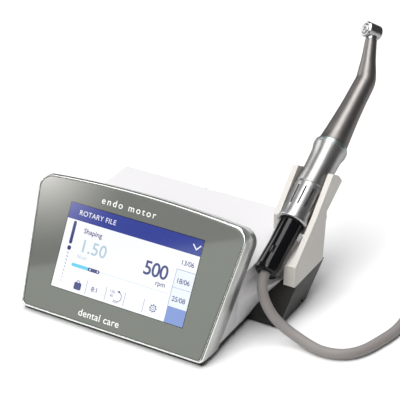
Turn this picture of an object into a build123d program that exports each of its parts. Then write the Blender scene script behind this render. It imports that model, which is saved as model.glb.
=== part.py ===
from build123d import *
import math
import os

# Endodontic motor: a desk unit with a touch screen, a handpiece holder and a corded motor handpiece.
# Millimetres.  Unit frame: x to the right, y to the back, z up; x = 0 in the unit's middle plane,
# y = 0 at the screen panel's front lower edge, z = 0 on the bench.

# ---------------------------------------------------------------- driving dimensions
# Screen housing
TILT = 29.6                 # screen panel's lean from upright, degrees
PANEL_Z = 4.0               # height of the panel's lower edge
PANEL_BOTTOM, PANEL_TOP, PANEL_RISE = 131.0, 150.0, 84.3
PANEL_ARCH = 3.8            # how far the top edge bows up in the middle
PANEL_CORNERS = (9.5, 3.2)  # corner radii at the top and at the bottom
PANEL_DEPTH = 16.5          # bezel depth, square to the glass
GLASS_INSET, GLASS_THICK, GLASS_GAP = 1.3, 1.8, 0.15
BEZEL_WALL = 3.6
BACK_GAP = 0.1              # between the bezel's wall and the plate behind
BACK_Z = 35.0               # the plate behind the display starts at this height

# Display, measured from its middle and in depths behind the glass front
DISPLAY_MID = 44.4          # middle of the display, up the slope
LCD_W, LCD_H, LCD_THICK = 105.5, 67.2, 3.0
LCD_DEPTH, BOARD_DEPTH, FRAME_DEPTH = 2.1, 7.2, 9.5
FRAME_HOLES = (57.5, 31.0)
FRAME_THICK, FRAME_HOLE_R = 1.2, 1.35
BOSS_R, BOSS_BORE = 3.0, 1.1

# Rear cover
COVER_FOOT, COVER_TOP = 64.5, 67.9      # half widths
COVER_Z, COVER_BACK, COVER_WALL = 42.0, 132.0, 3.0
COVER_EDGE = 2.0            # radius of the rear top edge
HIP_OUT, HIP_Z, HIP_TOP, HIP_LIP = 79.0, 24.6, 33.0, 1.2      # the cover's flare over each wing
HIP_ROOT = 50.0             # the flare's inner side, inside the cover
HIP_FRONT, HIP_FULL, HIP_BACK, HIP_START = 44.0, 78.0, 116.0, 66.6
COVER_SCREWS = [(-56, 46), (56, 46), (-52, 122), (52, 122)]
PILLAR_R, PILLAR_Z, PILLAR_BORE = 3.4, 5.2, 1.3
SEAM = 0.2                  # gap between neighbouring casings

# Base tray, its two wings and the feet
TRAY_HALF, TRAY_FRONT, TRAY_Z, TRAY_TOP, TRAY_FLOOR = 64.3, 3.0, 0.8, 3.85, 3.0
LIP_OUT, LIP_IN, LIP_FRONT, LIP_Z = 61.5, 59.7, 30.0, 8.5
WING_IN, WING_FOOT, WING_OUT, WING_Z = 55.0, 85.0, 89.8, 25.0
WING_FRONT, WING_BACK, WING_LEAN, WING_WALL = 61.0, 99.7, 0.62, 2.6
FOOT_R, FEET = 6.0, [(-50, 14), (50, 14), (-50, 112), (50, 112)]

# Main board
BOARD_Z, BOARD_THICK = 12.0, 1.6
BOARD_X, BOARD_FRONT, BOARD_REAR = 50.0, 48.0, 114.0
BOARD_SCREWS, BOARD_MID = (44, 28), 82.0

# Rear connector plate
PLATE_W, PLATE_H, PLATE_T = 96.0, 26.0, 1.5
PLATE_Z, PLATE_SCREW_IN = 21.0, 2.6
SOCKET_X, PEDAL_X, INLET_X, ROCKER_X = 34.0, 12.0, -10.0, -32.0
SOCKET_BORE, SOCKET_DEEP, SOCKET_BODY, SOCKET_FLANGE = 6.1, 9.0, 8.2, 1.6
PEDAL_BORE, PEDAL_DEEP, PEDAL_BODY, PEDAL_FLANGE = 3.5, 8.0, 5.2, 1.4
INLET_W, INLET_BORE, INLET_PIN = 11.0, 2.8, 1.0
ROCKER_R, ROCKER_W, ROCKER_LEAN = 8.5, 12.0, 8.0
ROCKER_TURN = 2 * ROCKER_LEAN           # from off to on, degrees
PINS, PIN_AT = 7, 3.4

# Handpiece's line
AXIS_X, AXIS_Y, AXIS_Z = 75.8, 61.36, 38.35     # its cord end
PITCH = 28.3                # climb above level, degrees
CONTRA_TURN = -35.1         # contra-angle's turn about the handpiece axis
BEND = 22.0                 # bend between handpiece and neck
ELBOW = 155.7               # from the cord end to the bend
HEAD_AT = 34.7              # from the bend to the head's middle
RUN = 0.02                  # running clearance, radial

# Handpiece holder: a fork seen from the side, as (y, z) points
GAP_HALF = 10.4             # half of the space between the prongs
PRONG_IN_X, PRONG_OUT_X = AXIS_X + GAP_HALF, WING_OUT
COLUMN_IN_X = 82.0
FORK_FOOT, FORK_TIP_FRONT = (100.5, 59.8), (123.2, 81.2)
FORK_TIP_TOP, FORK_TIP_BACK, FORK_BACK = (131.6, 76.6), (137.3, 70.2), (116.2, 58.3)
COLUMN_BACK, COLUMN_FRONT, COLUMN_TOP = (113.2, WING_Z), (73.7, WING_Z), (73.7, 39.3)
BRIDGE_FROM, BRIDGE_TO, BRIDGE_LOW, BRIDGE_TOP = 40.5, 57.0, -14.2, -11.4
PAD_TOP = -6.2
PEG_X, PEG_Y, PEG_HALF, PEG_FOOT = 83.7, 93.4, (1.6, 8.0), 16.0

# Motor handpiece, along its axis from the cord end
HANDLE_R, HANDLE_BORE, HANDLE_END = 7.3, 6.2, 38.7
HANDLE_IN = 43.0            # the handle's tube reaches this far inside the sleeve
SLEEVE_R, SLEEVE_BORE, SLEEVE_END = 9.3, 8.2, 65.2
SLOTS, SLOT_AT, SLOT_LONG, SLOT_W = 8, 54.0, 12.0, 0.55
NOSE_R, NOSE_BORE, NOSE_END = 4.9, 2.2, 85.5
SEAL_SEATS, SEAT_LONG = (71.0, 80.0), 1.3
SHAFT_R, SHAFT_FROM, DOG_R = 1.5, 7.6, 1.9
STATOR_R, STATOR_BORE, STATOR_FROM, STATOR_TO = 6.17, 3.6, 13.0, 33.0
COIL_ENDS = ((11.2, 13.0), (33.0, 34.8))
MOTOR_BEARINGS = ((8.0, 10.4), (37.2, 40.0))

# Contra-angle, on the same axis as the motor handpiece
SHEATH_BORE = NOSE_R + 0.55
LATCH_R, LATCH_FROM, LATCH_TO = 6.3, 66.8, 68.4
RING_FROM, RING_TO, RING_BORE = 98.2, 101.4, 8.6
GEAR_BORE, GEAR_SEAT = 8.2, 88.9
NECK_RINGS = [(101.45, 9.75), (106, 9.25), (114, 8.6), (124, 7.85), (136, 7.25), (148, 6.95)]
NECK_RINGS_PAST_BEND = [(8.0, 5.75), (13.0, 5.05), (19.0, 4.5), (28.4, 3.9)]
NECK_BORE, NECK_BORE_PAST_BEND = 4.2, 2.45

# Gear train
MODULE, SUN_T, PLANET_T, RING_T = 0.26, 18, 18, 54
GEAR_FROM, GEAR_TO = 89.2, 94.8
PLANETS = 3
PLANET_AT = MODULE * (SUN_T + PLANET_T) / 2
INPUT_R, PLANET_PIN, CARRIER_R, CARRIER_SHAFT = 0.98, 0.82, 6.6, 1.3
BEND_T, BEND_R, BEND_HUB = 18, 3.2, 1.5         # the face gears that meet at the bend
NECK_SHAFT_R, PINION_T, CROWN_T = 1.0, 15, 30

# Head
HEAD_R, HEAD_BACK, HEAD_FRONT = 5.3, -6.1, 5.6
HEAD_CAVITY, HEAD_MOUTH, NECK_ROOT = 4.4, 2.2, 28.5
CHUCK_R, SPINDLE_R = 1.19, 1.9

# Cord
CORD_R = 3.3
COIL_X, COIL_Y = 191.5, 138.5
COIL_IN, COIL_OUT = 24.6, 45.0      # innermost and outermost turns, to the cord's middle
PLUG_R, PLUG_L, PLUG_NECK = 6.0, 34.0, 5.2
NUT_FROM, NUT_TO, FLUTES = 14.0, 22.5, 18

# The cord's way from the handpiece to the coil, and from the coil to its plug.
CORD_ROUTE = [
    (75.8, 61.36, 38.35), (75.8, 58.2, 36.65), (76.5, 55.1, 34.0), (78.3, 52.6, 30.1),
    (81.7, 50.9, 23.6), (86.8, 50.5, 16.8), (93.6, 51.0, 11.0), (102.2, 51.3, 6.9),
    (111.7, 50.3, 4.3), (122.0, 48.6, 3.4), (134.5, 52.2, 3.4), (142.6, 62.0, 3.4),
    (146.8, 75.0, 3.4), (151.0, 90.0, 3.4), (151.5, 107.0, 3.4), (147.5, 123.0, 3.4),
    (146.5, 138.5, 3.4),
]
CORD_TAIL = [
    (147.2, 130.7, 10.2), (145.0, 145.0, 10.2), (141.6, 158.5, 8.6), (139.0, 171.5, 6.5),
    (137.4, 184.0, 6.5),
]

# ---------------------------------------------------------------- frames
T = math.radians(TILT)
P = math.radians(PITCH)
B = math.radians(BEND)
PANEL = Plane(origin=(0, 0, PANEL_Z), x_dir=(1, 0, 0), z_dir=(0, -math.cos(T), math.sin(T)))
AXIS = Vector(0, math.cos(P), math.sin(P))
MOTOR = Plane(origin=(AXIS_X, AXIS_Y, AXIS_Z), x_dir=(-1, 0, 0), z_dir=(0, math.cos(P), math.sin(P)))
CONTRA = MOTOR.location * Rot(0, 0, CONTRA_TURN)
# In the contra-angle's own frame the neck leaves at (0, sin B, cos B) from the elbow.
NECK_LOCAL = Plane(origin=(0, 0, ELBOW), x_dir=(1, 0, 0), z_dir=(0, math.sin(B), math.cos(B)))
HEAD_LOCAL = Plane(
    origin=(0, HEAD_AT * math.sin(B), ELBOW + HEAD_AT * math.cos(B)),
    x_dir=(1, 0, 0), z_dir=(0, -math.cos(B), math.sin(B)))
NECK = CONTRA * NECK_LOCAL.location
HEAD = CONTRA * HEAD_LOCAL.location
REAR = Plane(origin=(0, COVER_BACK, PLATE_Z), x_dir=(-1, 0, 0), z_dir=(0, 1, 0))
TAIL_DIR = Vector(*CORD_TAIL[-1]) - Vector(*CORD_TAIL[-2])
PLUG = Plane(origin=CORD_TAIL[-1], z_dir=(TAIL_DIR.X, TAIL_DIR.Y, 0))
FAR = 300                   # longer than anything in the model, for cutting boxes


# ---------------------------------------------------------------- helpers
def cyl(r, z0, z1):
    """A disc or pin from z0 to z1 on the local axis."""
    return Pos(0, 0, (z0 + z1) / 2) * Cylinder(r, z1 - z0)


def tube(ro, ri, z0, z1):
    return cyl(ro, z0, z1) - cyl(ri, z0 - 1, z1 + 1)


def block(x0, x1, y0, y1, z0, z1):
    return Pos((x0 + x1) / 2, (y0 + y1) / 2, (z0 + z1) / 2) * Box(x1 - x0, y1 - y0, z1 - z0)


def spun(points):
    """A turned part: its half section as (radius, height) points, spun about the local axis."""
    return revolve(Plane.XZ * make_face(Polyline(*points, close=True)), Axis.Z)


def side_plate(points, x0, x1):
    """A plate with its outline given as (y, z) points and its thickness from x0 to x1."""
    face = Plane.YZ * make_face(Polyline(*points, close=True))
    return Pos(x0, 0, 0) * extrude(face, x1 - x0)


def four(x, y):
    return [(sx * x, sy * y) for sx in (-1, 1) for sy in (-1, 1)]


def around(count, shape):
    """Copies of a shape, spaced evenly about the local axis."""
    return [Rot(0, 0, 360 / count * i) * shape for i in range(count)]


def screw(head_r, head_h, shank_r, length, drive=1.2):
    """A socket-head screw: head above z = 0, shank below."""
    body = cyl(head_r, 0, head_h) + cyl(shank_r, -length, 0)
    slot = Pos(0, 0, head_h) * extrude(RegularPolygon(drive, 6), -head_h * 0.6)
    return body - slot


def small_screw():
    """An M2 screw."""
    return screw(2.0, 1.2, 1.0, 3.4, drive=0.9)


def group(shapes):
    return Compound(children=list(shapes))


def above(z):
    return block(-FAR, FAR, -FAR, FAR, z, z + FAR)


def bearing(ro, ri, z0, z1):
    """Two rings with a groove between them on each side."""
    mid, wide, deep = (ro + ri) / 2, (ro - ri) * 0.16, 0.25
    body = tube(ro, ri, z0, z1) - tube(mid + wide, mid - wide, z1 - deep, z1 + 1)
    return body - tube(mid + wide, mid - wide, z0 - 1, z0 + deep)


def tooth_ring(teeth, root, tip):
    """A gear's outline with straight-sided teeth."""
    pts = []
    for i in range(teeth):
        for share, r in ((-0.30, root), (-0.14, tip), (0.14, tip), (0.30, root)):
            a = 2 * math.pi * (i + share) / teeth
            pts.append((r * math.cos(a), r * math.sin(a)))
    return make_face(Polyline(*pts, close=True))


def spur(teeth, z0, z1):
    """A spur gear whose teeth end just below its pitch line."""
    tip = MODULE * teeth / 2 - 0.03
    root = tip - 0.36
    return Pos(0, 0, z0) * extrude(tooth_ring(teeth, root, tip), z1 - z0)


def face_gear(teeth, r, hub, z0, z1, depth):
    """A disc with radial tooth slots in its z1 face."""
    half_slot = 0.16
    slot = block(hub, r + 1, -half_slot, half_slot, z1 - depth, z1 + 1)
    return cyl(r, z0, z1) - around(teeth, slot)


def bend_gear(z0, z1):
    return face_gear(BEND_T, BEND_R, BEND_HUB, z0, z1, 0.5)


def cord_tube(route, radius):
    """Straight runs joined by tangent arcs, each arc nearly as large as its two runs allow."""
    pts = [Vector(*p) for p in route]
    radii = []
    for a, b, c in zip(pts, pts[1:], pts[2:]):
        turn = math.radians((b - a).get_angle(c - b))
        radii.append(0.45 * min((b - a).length, (c - b).length) / math.tan(turn / 2))
    path = FilletPolyline(*pts, radius=radii)
    start = Plane(origin=path @ 0, z_dir=path % 0)
    solid = sweep(start * Circle(radius), path=path)
    print("cord length %.1f, arc radii" % path.length, [round(r, 1) for r in radii],
          "volume ratio %.4f" % (solid.volume / (math.pi * radius ** 2 * path.length)))
    return solid


# ---------------------------------------------------------------- screen housing
def panel_outline(inset):
    """The panel's outline on its own plane: straight sides that open upwards and a bowed top."""
    half_b, half_t = PANEL_BOTTOM / 2 - inset, PANEL_TOP / 2 - inset
    low, high = inset, PANEL_RISE - inset
    lines = Polyline((-half_t, high), (-half_b, low), (half_b, low), (half_t, high))
    bow = ThreePointArc((half_t, high), (0, high + PANEL_ARCH), (-half_t, high))
    top_r, bottom_r = PANEL_CORNERS
    face = make_face(lines + bow)
    face = fillet(face.vertices().sort_by(Axis.Y)[-2:], max(top_r - inset, 3))
    return fillet(face.vertices().sort_by(Axis.Y)[:2], max(bottom_r - inset * 0.5, 1.0))


def panel_prism(inset, near, far):
    """The outline at some inset, from near to far behind the panel's front plane."""
    return PANEL * Pos(0, 0, -far) * extrude(panel_outline(inset), far - near)


def on_panel(shape, depth):
    """Put a shape at the display's middle, depth behind the glass front."""
    return PANEL * Pos(0, DISPLAY_MID, -depth) * shape


def front_bezel():
    body = panel_prism(0, 0, PANEL_DEPTH)
    body = body - panel_prism(GLASS_INSET, -1, GLASS_THICK)
    body = body - panel_prism(BEZEL_WALL, 0, PANEL_DEPTH + 1)
    body = body & above(PANEL_Z)
    inside = panel_prism(1.0, GLASS_THICK, 12)
    for x, y in four(*FRAME_HOLES):
        wall_x = 1.4 * x
        boss = block(min(x, wall_x), max(x, wall_x), -1, 1, -FRAME_DEPTH, -GLASS_THICK)
        boss = boss + Pos(x, 0, 0) * cyl(BOSS_R, -FRAME_DEPTH, -GLASS_THICK)
        boss = boss - Pos(x, 0, 0) * cyl(BOSS_BORE, -FRAME_DEPTH - 1, -4)
        body = body + (on_panel(Pos(0, y, 0) * boss, 0) & inside)
    return body


def screen_glass():
    return panel_prism(GLASS_INSET + GLASS_GAP, 0.1, GLASS_THICK) & above(PANEL_Z)


def display_back():
    """The plate that closes the screen housing behind, above the rear cover."""
    edge = BEZEL_WALL + BACK_GAP
    plate = panel_prism(edge, PANEL_DEPTH - 2.4, PANEL_DEPTH - 0.2)
    rim = panel_prism(edge, PANEL_DEPTH - 5, PANEL_DEPTH - 2) - panel_prism(BEZEL_WALL + 2, 0, 30)
    return (plate & above(BACK_Z)) + (rim & above(BACK_Z))


def lcd_module():
    return on_panel(Pos(0, 0, -LCD_THICK / 2) * Box(LCD_W, LCD_H, LCD_THICK), LCD_DEPTH)


def lcd_frame():
    """A sheet frame behind the display, screwed to the bezel's bosses."""
    side_tab, rim = 9, 10
    plate = Pos(0, 0, -FRAME_THICK / 2) * Box(LCD_W + 2 * side_tab, LCD_H + 1, FRAME_THICK)
    plate = plate - Box(LCD_W - 2 * rim, LCD_H - 2 * rim, 6)
    plate = plate - [Pos(x, y, 0) * Cylinder(FRAME_HOLE_R, 6) for x, y in four(*FRAME_HOLES)]
    return on_panel(plate, FRAME_DEPTH)


def display_board():
    board = Pos(0, 0, -0.7) * Box(84, 52, 1.4)
    chips = Pos(-14, 4, -2.0) * Box(16, 16, 1.2) + Pos(18, -8, -2.0) * Box(11, 9, 1.2)
    return on_panel(board + chips, BOARD_DEPTH)


def display_cable():
    """A flat cable that drops from the display board to the main board."""
    left, wide, thick = -30, 11, 0.5
    line = Polyline((34.4, 33.5), (44.0, 33.5), (52.6, 22.6), (52.6, 16.5))
    band = extrude(Plane.YZ * make_face(offset(line, thick / 2, side=Side.BOTH)), wide)
    return Pos(left, 0, 0) * band


# ---------------------------------------------------------------- rear cover, base and feet
def cover_shape(grow, top, back):
    """The cover's outer form, shrunk by grow: walls that open upwards."""
    def level(z, half):
        return Pos(0, 0, z) * make_face(Polyline(
            (-half + grow, grow), (half - grow, grow), (half - grow, back), (-half + grow, back),
            close=True))
    return loft([level(PANEL_Z, COVER_FOOT), level(top, COVER_TOP)])


def hip(sign, grow):
    """A flare on the cover's side wall that grows backwards over the base's wing."""
    wall = COVER_FOOT + (COVER_TOP - COVER_FOOT) * (HIP_TOP - PANEL_Z) / (COVER_Z - PANEL_Z)

    def section(y, out):
        pts = [(HIP_ROOT, PANEL_Z), (COVER_FOOT - grow, PANEL_Z), (out - grow, HIP_Z - grow),
               (out - grow, HIP_Z + HIP_LIP - grow), (wall - 0.1 - grow, HIP_TOP - grow),
               (HIP_ROOT, HIP_TOP - grow)]
        return Plane.XZ.offset(-y) * make_face(Polyline(*[(sign * x, z) for x, z in pts], close=True))
    front, middle = section(HIP_FRONT + grow, HIP_START), section(HIP_FULL, HIP_OUT)
    back = section(HIP_BACK - grow, HIP_OUT)
    return loft([front, middle], ruled=True) + loft([middle, back], ruled=True)


def behind_panel(clear):
    """Everything behind the bezel's rear plane."""
    return PANEL * block(-FAR, FAR, -FAR, FAR, -PANEL_DEPTH - clear - FAR, -PANEL_DEPTH - clear)


def wing_shape(sign, grow):
    """The base's wing: an upright block that leans back and opens outwards."""
    def level(z, out):
        front, back = WING_FRONT + WING_LEAN * z + grow, WING_BACK + WING_LEAN * z - grow
        corners = [(WING_IN + grow, front), (out - grow, front), (out - grow, back), (WING_IN + grow, back)]
        return Pos(0, 0, z) * make_face(Polyline(*[(sign * x, y) for x, y in corners], close=True))
    return loft([level(0, WING_FOOT), level(WING_Z - grow, WING_OUT)], ruled=True)


def top_cover():
    outer = cover_shape(0, COVER_Z, COVER_BACK)
    rear_edge = outer.edges().filter_by(Axis.X).group_by(Axis.Z)[-1].sort_by(Axis.Y)[-1]
    outer = fillet(rear_edge, COVER_EDGE) + hip(-1, 0) + hip(1, 0)
    inner = cover_shape(COVER_WALL, COVER_Z - COVER_WALL, COVER_BACK - COVER_WALL)
    inner = inner + hip(-1, COVER_WALL) + hip(1, COVER_WALL)
    shell = (outer & behind_panel(SEAM)) - (inner & behind_panel(-5))
    for sign in (-1, 1):
        shell = shell - (wing_shape(sign, -SEAM) & block(-FAR, FAR, 0, FAR, -1, WING_Z + SEAM))
    window = Pos(0, COVER_BACK, PLATE_Z)
    shell = shell - window * Box(PLATE_W + 2 * SEAM, 2 * PLATE_T, PLATE_H + 2 * SEAM)
    shell = shell - window * Box(PLATE_W - 8, 20, PLATE_H - 5)
    shell = shell - [rear(x, Pos(0, z, 0) * Cylinder(BOSS_BORE, 12)) for x, z in plate_screws_at()]
    shell = shell - Pos(-2, COVER_BACK, COVER_Z) * Box(6, 5, 3)
    pillar = cyl(PILLAR_R, PILLAR_Z, COVER_Z - COVER_WALL + 0.5) - cyl(PILLAR_BORE, 4, 20)
    for x, y in COVER_SCREWS:
        shell = shell + Pos(x, y, 0) * pillar
    return shell


def base_tray():
    plate = block(-TRAY_HALF, TRAY_HALF, TRAY_FRONT, COVER_BACK - 1.5, TRAY_Z, TRAY_TOP)
    plate = plate - block(-60, 60, TRAY_FRONT + 4, COVER_BACK - 6, TRAY_FLOOR, 10)
    lip = block(-LIP_OUT, LIP_OUT, LIP_FRONT, COVER_BACK - 3.3, PANEL_Z - 0.5, LIP_Z)
    lip = lip - block(-LIP_IN, LIP_IN, LIP_FRONT - 8, COVER_BACK - 5.1, TRAY_FLOOR, 10)
    tray = plate + (lip - block(-70, 70, HIP_FRONT + 15, HIP_BACK + 2, 5, 10))
    for sign in (-1, 1):
        wing = wing_shape(sign, 0) - wing_shape(sign, WING_WALL)
        wing = wing + (wing_shape(sign, 0.5) & block(-90, 90, 83, 104, 8, WING_Z - 1))
        passage = block(sign * 57 - 5, sign * 57 + 5, WING_FRONT + 4, WING_BACK - 4, TRAY_FLOOR, 6)
        tray = tray + (wing & block(-FAR, FAR, 0, FAR, TRAY_Z, WING_Z + 1)) - passage
    for x, y in COVER_SCREWS:
        tray = tray + Pos(x, y, 0) * cyl(4.2, 1.0, 5.0)
        tray = tray - Pos(x, y, 0) * (cyl(1.7, 0, 6) + cyl(3.2, 0, 2.6))
    for x, y in board_screws_at():
        tray = tray - Pos(x, y, 0) * cyl(1.3, 0, 4)
    half_x, half_y = PEG_HALF[0] + 0.1, PEG_HALF[1] + 0.1
    socket = block(-half_x, half_x, -half_y, half_y, PEG_FOOT - 0.2, 30) + cyl(1.1, 0, 20) + cyl(2.3, 0, 11.8)
    return tray - Pos(PEG_X, PEG_Y, 0) * socket


def rubber_feet():
    return group([Pos(x, y, 0) * cyl(FOOT_R, 0, TRAY_Z) for x, y in FEET])


def housing_screws():
    return group([Pos(x, y, 2.6) * Rot(180, 0, 0) * screw(3.0, 1.5, 1.25, 14) for x, y in COVER_SCREWS])


# ---------------------------------------------------------------- boards
def board_screws_at():
    return [(x, BOARD_MID + y) for x, y in four(*BOARD_SCREWS)]


def board_standoffs():
    post = extrude(Pos(0, 0, TRAY_FLOOR) * RegularPolygon(2.9, 6), BOARD_Z - TRAY_FLOOR) - cyl(1.25, 2, 13)
    return group([Pos(x, y, 0) * post for x, y in board_screws_at()])


def main_board():
    board = block(-BOARD_X, BOARD_X, BOARD_FRONT, BOARD_REAR, BOARD_Z, BOARD_Z + BOARD_THICK)
    return board - [Pos(x, y, 0) * cyl(1.6, 10, 15) for x, y in board_screws_at()]


def board_screws():
    return group([Pos(x, y, BOARD_Z + BOARD_THICK) * screw(2.6, 1.6, 1.2, 6) for x, y in board_screws_at()])


def board_parts():
    """Chips, connectors, capacitors and the motor driver's heat sink."""
    top = BOARD_Z + BOARD_THICK
    parts = [block(-34, -14, 60, 80, top, top + 2), block(2, 14, 64, 76, top, top + 1.6),
             block(-30, -18, 50.5, 54.5, top, top + 2.4), block(20, 32, 58, 66, top, top + 6),
             block(-10, -2, 92, 104, top, top + 4)]
    parts += [Pos(22 + 11 * i, 90, 0) * cyl(4.5, top, top + 12) for i in range(2)]
    parts += [Pos(-36 + 7 * i, 100, 0) * cyl(2.5, top, top + 7) for i in range(3)]
    fins = [block(16 + 3.6 * i, 17.4 + 3.6 * i, 100, 112, top, top + 12) for i in range(6)]
    parts += [block(16, 35.4, 100, 112, top, top + 2) + fins]
    return group(parts)


def speaker():
    can = cyl(6, BOARD_Z + BOARD_THICK, BOARD_Z + 10) - cyl(1.2, BOARD_Z + 8, BOARD_Z + 12)
    return Pos(-42, 68, 0) * can


# ---------------------------------------------------------------- rear plate and its connectors
def rear(x, shape):
    """Put a shape on the rear plate; its own +z points out of the back."""
    return REAR * Pos(-x, 0, 0) * shape


def plate_screws_at():
    return four(PLATE_W / 2 - PLATE_SCREW_IN, PLATE_H / 2 - PLATE_SCREW_IN)


def rear_panel():
    plate = block(-PLATE_W / 2, PLATE_W / 2, COVER_BACK - PLATE_T, COVER_BACK,
                  PLATE_Z - PLATE_H / 2, PLATE_Z + PLATE_H / 2)
    plate = plate - rear(SOCKET_X, Cylinder(SOCKET_BODY + 0.1, 10))
    plate = plate - rear(PEDAL_X, Cylinder(PEDAL_BODY + 0.1, 10))
    plate = plate - rear(INLET_X, Box(INLET_W + 0.2, INLET_W + 0.2, 10))
    plate = plate - rear(ROCKER_X, Box(14.0, 19.4, 10))
    return plate - [rear(x, Pos(0, z, 0) * Cylinder(BOSS_BORE, 10)) for x, z in plate_screws_at()]


def m2_screws():
    """The small screws: four behind the display, four in the connector plate."""
    behind = [Pos(x, y, 0) * Rot(180, 0, 0) * small_screw() for x, y in four(*FRAME_HOLES)]
    shapes = [on_panel(each, FRAME_DEPTH + FRAME_THICK) for each in behind]
    return group(shapes + [rear(x, Pos(0, z, 0) * small_screw()) for x, z in plate_screws_at()])


def motor_socket():
    deep = SOCKET_FLANGE - SOCKET_DEEP
    body = cyl(9.4, 0, SOCKET_FLANGE) + cyl(SOCKET_BODY, -14, 0) - cyl(SOCKET_BORE, deep, 3)
    return rear(SOCKET_X, body - around(PINS, Pos(PIN_AT, 0, 0) * cyl(0.45, deep - 3, 3)))


def socket_nut():
    nut = Pos(0, 0, -7) * extrude(RegularPolygon(11, 6), 3.4) - cyl(SOCKET_BODY + 0.05, -9, 0)
    return rear(SOCKET_X, nut)


def pedal_socket():
    body = cyl(6.2, 0, PEDAL_FLANGE) + cyl(PEDAL_BODY, -11, 0)
    return rear(PEDAL_X, body - cyl(PEDAL_BORE, PEDAL_FLANGE - PEDAL_DEEP, 3))


def dc_inlet():
    body = Pos(0, 0, -6) * Box(INLET_W, INLET_W, 12.8) - cyl(INLET_BORE, -9, 2)
    return rear(INLET_X, body + cyl(INLET_PIN, -9.5, -0.6))


def rocker_frame():
    outer = Pos(0, 0, 0.7) * Box(16.5, 22, 1.4) + Pos(0, 0, -5) * Box(13.9, 19.3, 10)
    return rear(ROCKER_X, outer - Pos(0, 0, -3.2) * Box(ROCKER_W + 0.5, 2 * ROCKER_R + 0.6, 11))


def power_rocker():
    """A drum with two flats that meet in a shallow ridge, resting on its off side."""
    flat_at, back_at = 2.6, -1.5
    drum = Rot(0, 90, 0) * Cylinder(ROCKER_R, ROCKER_W)
    for lean in (-ROCKER_LEAN, ROCKER_LEAN):
        drum = drum - Rot(lean, 0, 0) * block(-20, 20, -20, 20, flat_at, flat_at + 20)
    drum = drum - block(-20, 20, -20, 20, back_at - 20, back_at)
    return rear(ROCKER_X, Rot(ROCKER_LEAN, 0, 0) * drum)


# ---------------------------------------------------------------- handpiece holder
def cradle(radius, s0, s1):
    """The handpiece's room in the fork, open square to its axis on the upper side."""
    return MOTOR * (cyl(radius, s0, s1) + block(-radius, radius, 0, 90, s0, s1))


def handpiece_holder():
    """A column on the wing's peg that carries two prongs, joined below by a bridge."""
    tips = [FORK_BACK, FORK_TIP_BACK, FORK_TIP_TOP, FORK_TIP_FRONT, FORK_FOOT]
    body = side_plate([COLUMN_FRONT, COLUMN_BACK] + tips + [COLUMN_TOP], PRONG_IN_X, PRONG_OUT_X)
    body = body + side_plate([COLUMN_FRONT, COLUMN_BACK, (115.6, 52), (103, 47.5), COLUMN_TOP],
                             COLUMN_IN_X, PRONG_OUT_X)
    left_out, left_in = 2 * AXIS_X - PRONG_OUT_X, 2 * AXIS_X - PRONG_IN_X
    body = body + side_plate([(98.2, 46.8), (115.4, 50)] + tips + [(98.2, 57.5)], left_out, left_in)
    half = PRONG_OUT_X - AXIS_X - 0.5
    body = body + MOTOR * block(-half, half, BRIDGE_LOW, BRIDGE_TOP, BRIDGE_FROM, BRIDGE_TO)
    body = body - cradle(HANDLE_R + 0.6, -5, HANDLE_END + 0.1) - cradle(GAP_HALF, HANDLE_END, 100)
    half_x, half_y = PEG_HALF
    body = body + Pos(PEG_X, PEG_Y, 0) * block(-half_x, half_x, -half_y, half_y, PEG_FOOT, WING_Z + 1)
    prong_edges = body.edges().filter_by(Axis.X).sort_by(Axis.Z)[-6:]
    return fillet(prong_edges, 0.9) - Pos(PEG_X, PEG_Y, 0) * cyl(1.0, 10, 30)


def holder_pad():
    """A soft saddle on the bridge, under the sleeve."""
    half = GAP_HALF - 0.2
    saddle = block(-half, half, BRIDGE_TOP, PAD_TOP, BRIDGE_FROM + 1, BRIDGE_TO - 1)
    return MOTOR * (saddle - cyl(SLEEVE_R + 0.3, 30, 70))


def holder_screw():
    return Pos(PEG_X, PEG_Y, 11.8) * Rot(180, 0, 0) * screw(2.1, 1.6, 0.95, 12, 0.9)


# ---------------------------------------------------------------- motor handpiece
def motor_housing():
    """The handle's tube, with a keyway and a small rib near its cord end."""
    body = spun([(4.8, 0), (6.2, 0), (7.05, 0.9), (HANDLE_R, 20), (HANDLE_R, HANDLE_IN),
                 (HANDLE_BORE, HANDLE_IN), (HANDLE_BORE, 2.2), (4.8, 2.2)])
    body = body - Pos(0, HANDLE_R - 0.2, 13.5) * Box(3.4, 1.0, 5.5)
    rib = Pos(0, HANDLE_R - 0.6, 11.6) * Box(3.0, 0.9, 0.8)
    return MOTOR * (body + rib)


def motor_sleeve():
    """A metal sleeve with a rounded lip at the handle, long slots and a shoulder for the nose."""
    lip, bore, nose = HANDLE_END, HANDLE_R + 0.05, NOSE_R + 0.05
    body = spun([(bore, lip), (8.9, lip), (9.15, lip + 0.8), (8.95, lip + 2.2), (9.05, lip + 4),
                 (SLEEVE_R, SLEEVE_END - 0.4), (SLEEVE_R - 0.3, SLEEVE_END), (nose, SLEEVE_END),
                 (nose, SLEEVE_END - 3), (SLEEVE_BORE, SLEEVE_END - 3),
                 (SLEEVE_BORE, HANDLE_IN + 0.1), (bore, HANDLE_IN + 0.1)])
    slot = Rot(0, 0, 10) * Pos(0, SLEEVE_R, SLOT_AT) * Box(SLOT_W, SLOT_W + 0.75, SLOT_LONG)
    return MOTOR * (body - around(SLOTS, slot))


def cord_gland():
    """A soft bush between the cord and the handle's end."""
    grip = CORD_R + 0.05
    return MOTOR * spun([(grip, 0.6), (4.7, 0.6), (4.7, 2.3), (5.6, 2.3), (5.6, 5.2), (1.4, 5.2),
                         (1.4, 4.2), (grip, 4.2)])


def hall_board():
    return MOTOR * tube(6.1, 1.0, 6.0, 7.0)


def motor_bearings():
    return group([MOTOR * bearing(STATOR_R, SHAFT_R + RUN, z0, z1) for z0, z1 in MOTOR_BEARINGS])


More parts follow.
